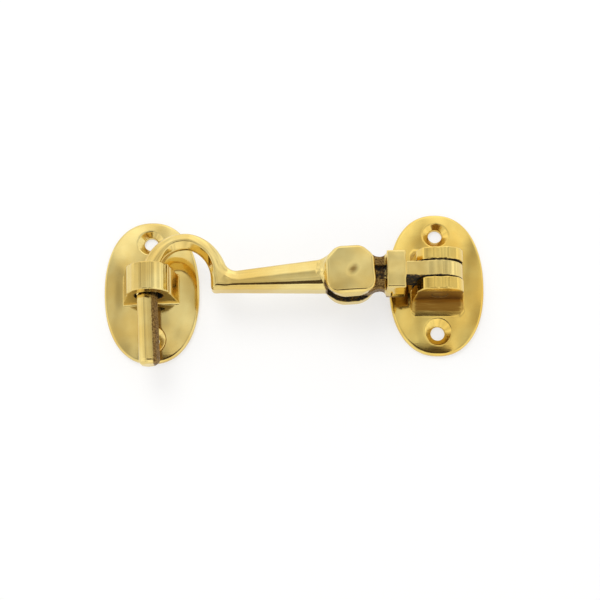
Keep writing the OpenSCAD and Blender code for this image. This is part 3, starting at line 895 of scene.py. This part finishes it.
# %% Mark the arm and end its tree
PEG_SAND_DEPTH, PEG_INSET, THROAT_SAND = 0.14, 0.05, 0.1
FORK_DEEP, FORK_SHALLOW, FORK_END = 0.1, 0.3, (5.9, 6.6)
CREASE_FADE, LOWER_HALF = (0.3, 1.4), (-3, -1)
PEG_SIDE_FROM, PEG_SIDE_TO = (0.7, 1.6), (3, 3.5)
THROAT_DEEP, THROAT_SHALLOW, THROAT_FOOT = 0.5, 0.1, (-1, 0)
CREASE_COMPOUND_AND_SHADE, CREASE_SKIN_AND_SHADE, DIMPLE_FILM, THROAT_FILM = 0.45, 0.8, 0.7, 0.2
in_slot = 1 - ease(deep, size["Slot"] / 2 - FORK_DEEP, size["Slot"] / 2 + FORK_SHALLOW)
in_slot = in_slot * (1 - ease(u, *FORK_END))
on_lower_half = 1 - ease(v, *LOWER_HALF)
# The compound and skin in the crease behind the knob are painted shade.
crease = (1 - ease(larger(abs(knob), abs(bar)), *CREASE_FADE)) * on_lower_half
to_hinge = size["Peg from rivet"] - u
# The peg's side towards the hinge has real sandy skin, painted darker as the shade on that side.
peg_side = ease(to_hinge, *PEG_SIDE_FROM) * (1 - ease(to_hinge, *PEG_SIDE_TO)) * on_lower_half
throat = ease(inward, arch_w / 2 - THROAT_DEEP, arch_w / 2 - THROAT_SHALLOW) * ease(v, *THROAT_FOOT)
marks = {
    "compound_and_shade": larger(in_slot, crease * CREASE_COMPOUND_AND_SHADE),
    "as_cast_and_shade": larger(larger(in_slot, peg_side), crease * CREASE_SKIN_AND_SHADE),
    "tarnish_and_shade": larger(dimple * DIMPLE_FILM, throat * THROAT_FILM),
}
sand = wavy(arm_tree, SAND_MM, PEG_SAND_DEPTH) + PEG_INSET
arm = arm + larger(peg_side, throat * THROAT_SAND) * sand
knob_deep = size["Knob thickness"] / 2
arm_low = [-size["Peg from rivet"] - size["Peg diameter"] / 2, -size["Peg length"], -knob_deep]
arm_high = [knob_half, size["Arch rise"] + size["Arch width"] / 2, knob_deep]
end_tree(arm_tree, arm, arm_low, arm_high, size, marks)

# %% [markdown]
# ## Casting the arm
# The arm is drawn lying straight, with the rivet at its middle, and then turned by the droop that the
# peg's axis in the model gives and set down on the rivet. Its sizes go with the names above.

# %% Cast the arm
arm_bottom, arm_top = corners_mm("hook_arm")
arm_sizes = {
    "Knob width": 13.2, "Knob thickness": arm_top.z - arm_bottom.z, "Knob corner": 3.2, "Knob bevel": 0.5,
    "Slot": 4.4, "Slot reach": 6.1, "Rivet": rivet_high.x - rivet_low.x,
    "Shank width": 8.6, "Shank thickness": 6.4, "Shank round": 1.6,
    "Step width": 4.9, "Step thickness": 5.2, "Step round": 1.5,
    "Throat round": 0.6, "Throat chamfer": 1.7, "Upper chamfer": 1.9, "Arch chamfer": 1.3,
    "Step from rivet": 34.0, "Arch half span": 9.1, "Arch rise": 11.6, "Arch width": 4.2, "Flare": 1.0,
    "Peg from rivet": 53.2, "Peg diameter": 5.6, "Peg length": 21.2, "Peg chamfer": 0.8,
    "Cell": 0.22, "Turn": droop, "Place X": rivet_at.x, "Place Y": rivet_at.y, "Place Z": rivet_at.z,
}
arm_casting = make_piece("hook_arm_casting", arm_tree, arm_sizes, polished_brass)

# %% [markdown]
# ## The pin and the rivet
# Both are drawn brass rod, hammered into a slight bulge at the ends and dressed off with the casting.
# A plain cylinder would meet its bore in a perfect line, so one tree makes both rods with a domed end
# and a broken edge. The hinge pin shows as a hairline ring on the lugs. The rivet's front was linished
# until its seam closed up, so it stops just below the face there.

# %% The tree for a dressed rod
ROD_LABELS = [
    "Diameter", "Length", "Bulge", "Tarnish and shade", "Cell", "Lie", "Turn", "Place X", "Place Y", "Place Z",
]
ROD_EDGE, ROD_INSET = 0.08, 0.01
END_FROM, END_TO, RING_FADE = 0.6, 0.4, (0.8, 1)
RING_COMPOUND, RING_SKIN = 0.6, 0.3
rod_tree, size, (x, y, z) = start_tree("dressed_rod", ROD_LABELS)
radius = across(x, y)
half = size["Diameter"] / 2
half_length = size["Length"] / 2
hollow = radius * radius / (half * half)
rod = edge(radius - half, abs(z) - half_length + size["Bulge"] * hollow, ROD_EDGE)
rod = rod + ROD_INSET
at_end = ease(abs(z), half_length - END_FROM, half_length - END_TO)
end_ring = at_end * ease(hollow, *RING_FADE)
marks = {
    "compound_and_shade": end_ring * RING_COMPOUND,
    "as_cast_and_shade": end_ring * RING_SKIN,
    "tarnish_and_shade": at_end * size["Tarnish and shade"],
    "satin": at_end * size["Tarnish and shade"],
}
end_tree(rod_tree, rod, [-half, -half, -half_length], [half, half, half_length], size, marks)

# %% Draw the pin and the rivet
END_PLAY = 0.04
rivet_front = rivet_high.z - FRONT_SKIN_MM
rod_sizes = {"Bulge": 0.1, "Cell": 0.12, "Turn": 0.0}
pin_sizes = rod_sizes | {
    "Diameter": pin_high.x - pin_low.x, "Length": pin_high.y - pin_low.y - END_PLAY, "Tarnish and shade": 0.85,
    "Lie": math.radians(90), "Place X": 0.0, "Place Y": 0.0, "Place Z": axis_h,
}
rivet_sizes = rod_sizes | {
    "Diameter": rivet_high.x - rivet_low.x, "Length": rivet_front - rivet_low.z - END_PLAY, "Tarnish and shade": 0.2,
    "Lie": 0.0, "Place X": rivet_at.x, "Place Y": rivet_at.y, "Place Z": (rivet_front + rivet_low.z) / 2,
}
pin_rod = make_piece("hinge_pin_rod", rod_tree, pin_sizes, drawn_brass)
rivet_rod = make_piece("pivot_rivet_rod", rod_tree, rivet_sizes, drawn_brass)

# %% [markdown]
# ## Crumbs of compound
# Polishing compound dries to black crumbs where the mop throws it and can't wipe it off again: in the
# fork, in the pocket and beside the lugs. The castings carry that mark already, which is compound and
# painted shade in one, so points are scattered by it and each point gets a small lump, sunk by half
# into the brass. Lumps placed by hand would look sown.

# %% Make the dried compound
# Grease and abrasive dried to a crust: black-brown, mottled and with no shine at all.
CRUST_ROUGHNESS = 0.8
dried_compound = bpy.data.materials.new("dried_polishing_compound")
dried_compound.use_nodes = True
dried = dried_compound.node_tree
crust = dried.nodes["Principled BSDF"]
spot = add_node(dried, "ShaderNodeTexCoord").outputs["Object"]
mottle = add_node(dried, "ShaderNodeTexNoise", {"Vector": spot, "Scale": MM / PATCH_MM, "Detail": 3.0})
browns = {SHARE_IN: mottle.outputs[0], UNDER_IN: colour(COMPOUND_AND_SHADE), OVER_IN: colour(COMPOUND_PALE)}
black_brown = add_node(dried, "ShaderNodeMix", browns, data_type="RGBA").outputs[TONE_OUT]
dried.links.new(black_brown, crust.inputs["Base Color"])
crust.inputs["Roughness"].default_value = CRUST_ROUGHNESS
print("crust:", dried_compound.name)

# %% The tree for crumbs
DIRTY_FROM, DIRTY_TO = 0.55, 0.95
POINT_SEED, SIZE_SEED, SPIN_SEED = 7, 11, 13
LEAST_SIZE, FULL_SIZE, FULL_TURN = 0.4, 1.0, 6.28
crumb_tree = bpy.data.node_groups.new("compound_crumbs", "GeometryNodeTree")
crumb_tree.interface.new_socket("Geometry", in_out="OUTPUT", socket_type="NodeSocketGeometry")
crumb_tree.interface.new_socket("Geometry", in_out="INPUT", socket_type="NodeSocketGeometry")
for label in ("Crumbs per mm2", "Crumb size"):
    crumb_tree.interface.new_socket(label, in_out="INPUT", socket_type="NodeSocketFloat")
crumb_tree.interface.new_socket("Finish", in_out="INPUT", socket_type="NodeSocketMaterial")
entry = add_node(crumb_tree, "NodeGroupInput").outputs
dirt_and_shade = Field(add_node(crumb_tree, "GeometryNodeInputNamedAttribute", {"Name": "compound_and_shade"}).outputs[0])
density = ease(dirt_and_shade, DIRTY_FROM, DIRTY_TO) * Field(entry["Crumbs per mm2"]) * (MM * MM)
points = add_node(crumb_tree, "GeometryNodeDistributePointsOnFaces",
                  {0: entry["Geometry"], "Density": density, "Seed": POINT_SEED})
lump = add_node(crumb_tree, "GeometryNodeMeshIcoSphere",
                {"Subdivisions": 2, "Radius": Field(entry["Crumb size"]) / (2 * MM)})
spread = add_node(crumb_tree, "FunctionNodeRandomValue", {2: LEAST_SIZE, 3: FULL_SIZE, "Seed": SIZE_SEED})
spin = add_node(crumb_tree, "FunctionNodeRandomValue",
                {0: (0, 0, 0), 1: (FULL_TURN,) * 3, "Seed": SPIN_SEED}, data_type="FLOAT_VECTOR")
strewn = add_node(crumb_tree, "GeometryNodeInstanceOnPoints",
                  {0: points.outputs[0], "Instance": lump.outputs[0], "Rotation": spin.outputs[0],
                   "Scale": spread.outputs[1]})
solid = add_node(crumb_tree, "GeometryNodeRealizeInstances", {0: strewn.outputs[0]})
coated = add_node(crumb_tree, "GeometryNodeSetMaterial",
                  {0: solid.outputs[0], "Material": entry["Finish"]})
add_node(crumb_tree, "NodeGroupOutput", {0: coated.outputs[0]})
print(f"{crumb_tree.name}: {len(crumb_tree.nodes)} nodes")

# %% Strew the crumbs
CRUMB_SIZES = {"Crumbs per mm2": 1.5, "Crumb size": 0.26}
arm_crumbs = make_piece("fork_crumbs", crumb_tree, CRUMB_SIZES, dried_compound, arm_casting.data.copy())
link_crumbs = make_piece("link_crumbs", crumb_tree, CRUMB_SIZES, dried_compound, link_casting.data.copy())

# %% [markdown]
# ## The table
# The latch lies on white paper. The paper is lit like everything else, so it keeps the latch's shadow,
# and a share of plain white for rays from the camera, from mirrors and through glass makes it the
# white ground of the photograph, also where the brass reflects it.

# %% Lay the table
def panel(title, extent, at, finish):
    """A flat card of the stage."""
    mesh = bpy.data.meshes.new(title)
    wide, deep = extent[0] / 2, extent[1] / 2
    mesh.from_pydata([(-wide, -deep, 0), (wide, -deep, 0), (wide, deep, 0), (-wide, deep, 0)],
                     [], [(0, 1, 2, 3)])
    card = bpy.data.objects.new(title, mesh)
    card.location = at
    mesh.materials.append(finish)
    bpy.context.scene.collection.objects.link(card)
    return card


# Matt white paper: no gloss, only a soft shadow.
PAPER, PAPER_ROUGHNESS, PAPER_GLOW = "#F8F7F5", 0.9, 0.6
WHITE = "#FFFFFF"
TABLE_SIZE = (4.0, 4.0)
table_paper = bpy.data.materials.new("white_paper_table")
table_paper.use_nodes = True
paper = table_paper.node_tree
sheet = paper.nodes["Principled BSDF"]
sheet.inputs["Base Color"].default_value = colour(PAPER)
sheet.inputs["Roughness"].default_value = PAPER_ROUGHNESS
glow = add_node(paper, "ShaderNodeEmission", {"Color": colour(WHITE), "Strength": 1.0})
ray = add_node(paper, "ShaderNodeLightPath").outputs
straight = larger(Field(ray["Is Camera Ray"]), Field(ray["Is Glossy Ray"]))
straight = larger(straight, Field(ray["Is Transmission Ray"]))
lit = {0: straight * PAPER_GLOW, 1: sheet.outputs[0], 2: glow.outputs[0]}
surface = add_node(paper, "ShaderNodeMixShader", lit).outputs[0]
paper.links.new(surface, paper.nodes["Material Output"].inputs["Surface"])
table = panel("table", TABLE_SIZE, (0, 0, 0), table_paper)
print(f"{table.name}: {TABLE_SIZE[0]:.0f} m square")

# %% [markdown]
# ## The camera's own reflection
# Polished metal shows little but its surroundings. The one dark thing near the real latch was the
# camera, and it draws the brown lines along the arm's lower edges and the dark arc at the hinge plate's
# rim. Such lines could be painted on, but they would not move with the view. A dark card at the
# camera's place draws them as the real camera did.

# %% Hang the dark card
# Grained black plastic under a warm light: a soft brown-black with no form of its own.
CARD_TILT = math.radians(21)
CARD_SIZE = (0.26, 0.19)
CARD_TONE = "#3A2A18"
black_plastic = bpy.data.materials.new("black_camera_plastic")
black_plastic.use_nodes = True
plastic = black_plastic.node_tree.nodes["Principled BSDF"]
plastic.inputs["Base Color"].default_value = colour(CARD_TONE)
card_way = Vector((0, -math.sin(CARD_TILT), math.cos(CARD_TILT)))
camera_body = panel("camera_body", CARD_SIZE, CAMERA_AIM + CAMERA_DISTANCE * card_way, black_plastic)
camera_body.rotation_euler = (CARD_TILT, 0, 0)
camera_body.visible_camera = False
print(f"{camera_body.name}: {CARD_SIZE[0] * MM:.0f} by {CARD_SIZE[1] * MM:.0f} mm")

# %% [markdown]
# ## The light tent
# Everything else round the latch is white cloth, as in a light tent: brighter at the sides and at the
# back, where the lamps stand behind it, with a bright strip overhead and a dimmer part on the left. The
# cloth hangs in soft folds, and these are what breaks up the reflections in the brass. A sky image
# would do it too, but a few soft steps on the direction of the ray say it in plain numbers.

# %% Hang the tent
def soft_patch(way, at, full, none):
    """A part of the cloth: 1 as near to its middle as full, and 0 beyond none."""
    return 1 - ease(abs(way - at), full, none)


# Where each part of the cloth lies, as steps on the direction of the ray, and what it adds.
CLOTH, LEAST_LIGHT = 0.69, 0.1
STRIP, STRIP_LIGHT = (0.22, 0.06, 0.26), 0.22
SIDES, SIDES_LIGHT = (0.5, 0.95), 0.42
ENDS, ENDS_LIGHT = (0.3, 0.75), 0.3
LOW_BACK, LOW_BACK_LIGHT = (0.75, 0.95), 0.3
DIM_LEFT, DIM_FAR, DIM_LOSS = (0.2, 0.45), (0.29, 0.1, 0.25), 0.12
LEFT_LAMPS = (-0.3, 0.1, 0.3)
FAR_LAMP, FAR_LAMP_LIGHT = (0.55, 0.1, 0.3), 0.25
NEAR_LAMP, NEAR_LAMP_LIGHT = (0.02, 0.05, 0.2), 0.15
FOLD_SCALE, FOLD_DEPTH, FOLD_PLACE = 4.0, 1.1, (2.7, 1.9, 0.5)
world = bpy.data.worlds.new("white_light_tent")
world.use_nodes = True
tent = world.node_tree
way = add_node(tent, "ShaderNodeTexCoord").outputs["Generated"]
right, far, _ = [Field(part) for part in add_node(tent, "ShaderNodeSeparateXYZ", {0: way}).outputs]
sides = ease(abs(right), *SIDES)
dim_left = ease(-right, *DIM_LEFT) * (1 - sides) * soft_patch(far, *DIM_FAR)
bright = CLOTH + soft_patch(right, *STRIP) * STRIP_LIGHT + sides * SIDES_LIGHT
bright = bright + ease(abs(far), *ENDS) * ENDS_LIGHT + ease(far, *LOW_BACK) * LOW_BACK_LIGHT
bright = bright - dim_left * DIM_LOSS
left_lamps = soft_patch(far, *FAR_LAMP) * FAR_LAMP_LIGHT + soft_patch(far, *NEAR_LAMP) * NEAR_LAMP_LIGHT
bright = bright + soft_patch(right, *LEFT_LAMPS) * left_lamps
hung = add_node(tent, "ShaderNodeMapping", {"Vector": way, "Location": FOLD_PLACE}).outputs[0]
draped = {"Vector": hung, "Scale": FOLD_SCALE, "Detail": 1.0}
folds = Field(add_node(tent, "ShaderNodeTexNoise", draped).outputs[0])
bright = larger(bright + (folds - NOISE_MIDDLE) * FOLD_DEPTH, LEAST_LIGHT)
tent.links.new(bright.socket, tent.nodes["Background"].inputs["Strength"])
tent.nodes["Background"].inputs["Color"].default_value = colour(WHITE)
bpy.context.scene.world = world
print(f"{world.name}: {len(tent.nodes)} nodes")

# %% [markdown]
# ## The lamp
# The tent alone would leave the paper without a shadow. One weak lamp behind it, up on the left, gives
# the soft shadow to the lower right. It is hidden from reflections, which the tent already fills.

# %% Set the lamp
LAMP_SIZE, LAMP_WATTS, LAMP_AT = 0.5, 2.0, (-0.25, 0.35, 0.6)
lamp = bpy.data.lights.new("tent_lamp", "AREA")
lamp.shape = "DISK"
lamp.size = LAMP_SIZE
lamp.energy = LAMP_WATTS
tent_lamp = bpy.data.objects.new("tent_lamp", lamp)
tent_lamp.location = LAMP_AT
tent_lamp.rotation_euler = (CAMERA_AIM - tent_lamp.location).to_track_quat("-Z", "Y").to_euler()
tent_lamp.visible_glossy = False
bpy.context.scene.collection.objects.link(tent_lamp)
print(f"{tent_lamp.name}: {LAMP_WATTS} W")

# %% [markdown]
# ## Everything rides on its body
# Each piece takes the place of its CAD solid and moves with the same body. The crumbs ride along with
# the casting they stick to.

# %% Ride and replace
RIDES = {
    hinge_casting: ("hinge_plate", "hinge_plate", "polished_brass"),
    pin_rod: ("hinge_plate", "hinge_pin", "drawn_brass"),
    eye_casting: ("eye_plate", "eye_plate", "polished_brass"),
    link_casting: ("swivel_link", "swivel_link", "cast_brass"),
    arm_casting: ("hook_arm", "hook_arm", "polished_brass"),
    rivet_rod: ("hook_arm", "pivot_rivet", "drawn_brass"),
}
for piece, (body, node, finish_slot) in RIDES.items():
    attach(piece, body)
    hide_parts(node)
for crumbs, body, finish_slot in ((arm_crumbs, "hook_arm", "polished_brass"),
                                  (link_crumbs, "swivel_link", "cast_brass")):
    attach(crumbs, body)
print(f"{len(RIDES)} pieces replace solids, and 2 strewings of crumbs ride along")
